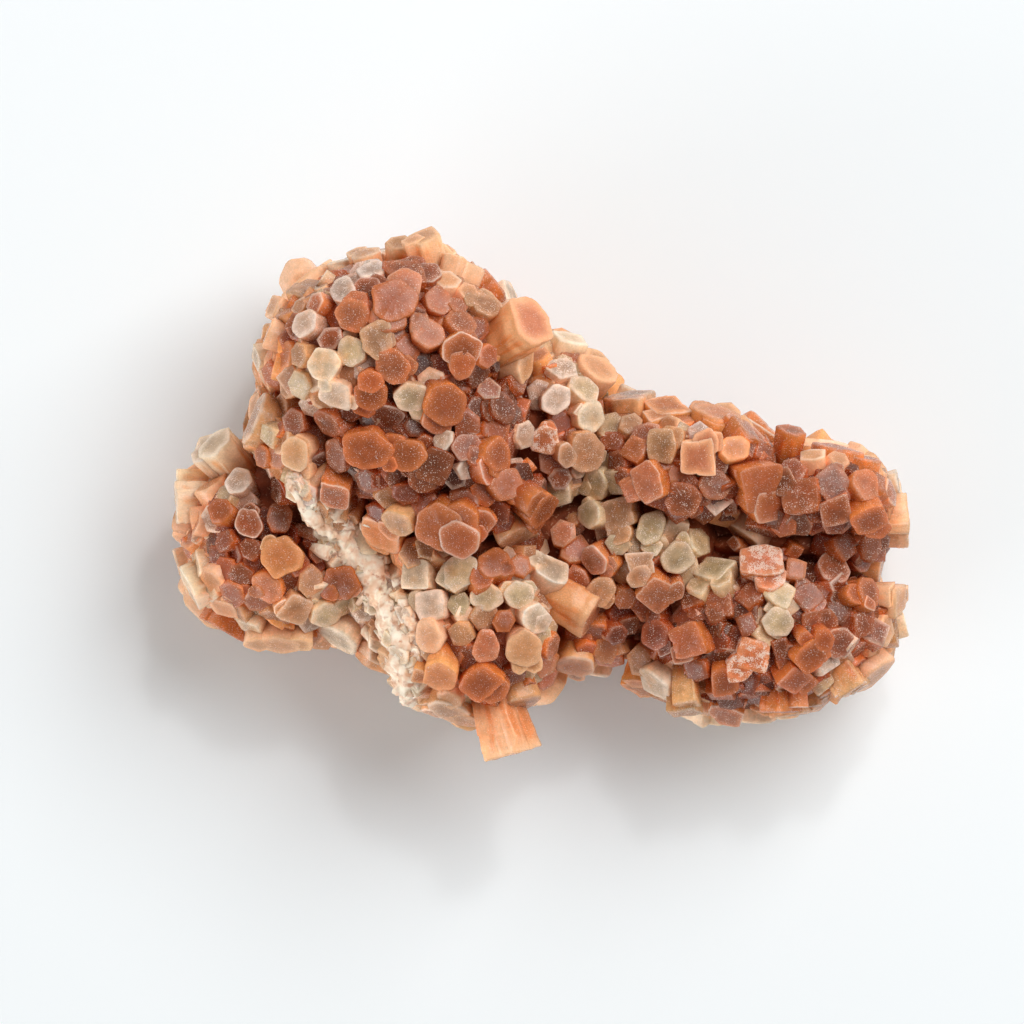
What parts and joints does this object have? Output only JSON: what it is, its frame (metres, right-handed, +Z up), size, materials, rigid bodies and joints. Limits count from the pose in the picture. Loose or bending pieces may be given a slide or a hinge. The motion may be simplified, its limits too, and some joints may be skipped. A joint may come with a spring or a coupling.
{
  "type": "aragonite star cluster",
  "caption": "Mineral specimen: blunt six-sided aragonite crystals grown together round knobbly arms, lying on its back.",
  "frame": {"origin": "on the table under the middle of the specimen's outline", "axes": "+X along the longest arm to the right, +Y towards the tall upper arm's far side, +Z up from the table"},
  "size_m": [0.0616, 0.0444, 0.0296],
  "materials": {
    "aragonite": "translucent orange-brown mineral, satin prism faces and matt flat caps, paler and greenish in places"
  },
  "bodies": {
    "root": {"aragonite_cluster": "aragonite"}
  },
  "joints": []
}
